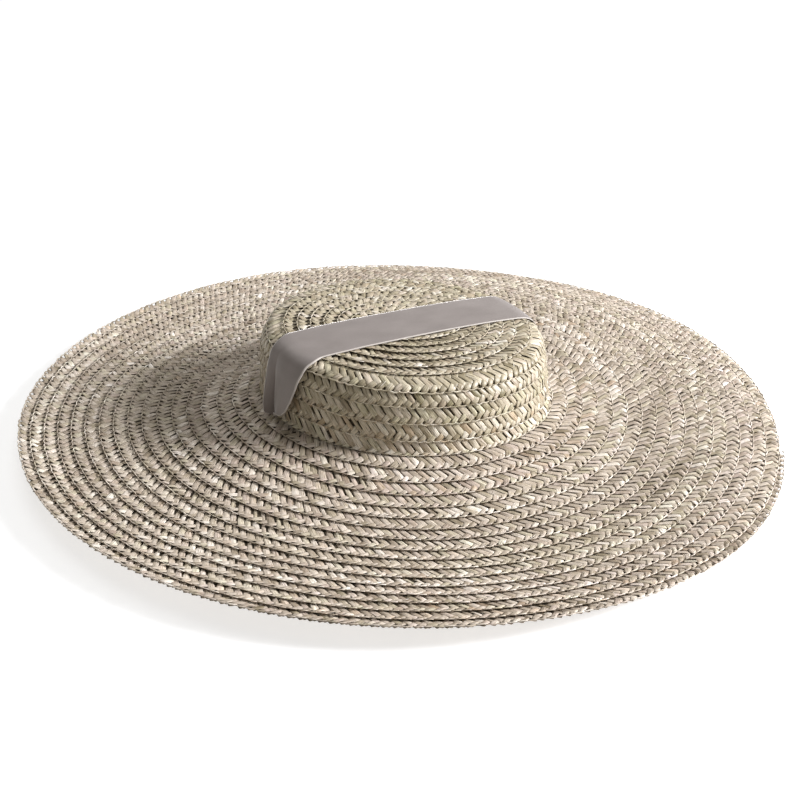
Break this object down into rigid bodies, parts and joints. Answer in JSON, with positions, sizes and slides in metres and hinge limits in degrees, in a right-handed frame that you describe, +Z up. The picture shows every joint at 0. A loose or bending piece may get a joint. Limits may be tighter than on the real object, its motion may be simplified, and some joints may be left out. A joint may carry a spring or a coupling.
{
  "type": "wide-brimmed straw hat",
  "caption": "Straw hat of sewn braid with a low flat oval crown, a very wide gently waving brim and a cloth ribbon laid over the crown.",
  "frame": {"origin": "on the floor under the middle of the brim, where the hat lies as it does in the picture", "axes": "+Z up out of the crown, -Y towards the viewer of the picture, +X to the viewer's right; the brim is longest along X"},
  "size_m": [0.5068, 0.4892, 0.071],
  "materials": {
    "crown_straw": "natural plaited straw, semi-gloss",
    "brim_straw": "natural plaited straw, semi-gloss",
    "ribbon_cloth": "matt fine-woven ribbon with a paler selvage"
  },
  "bodies": {
    "root": {"crown": "crown_straw", "brim": "brim_straw", "ribbon": "ribbon_cloth"}
  },
  "joints": []
}
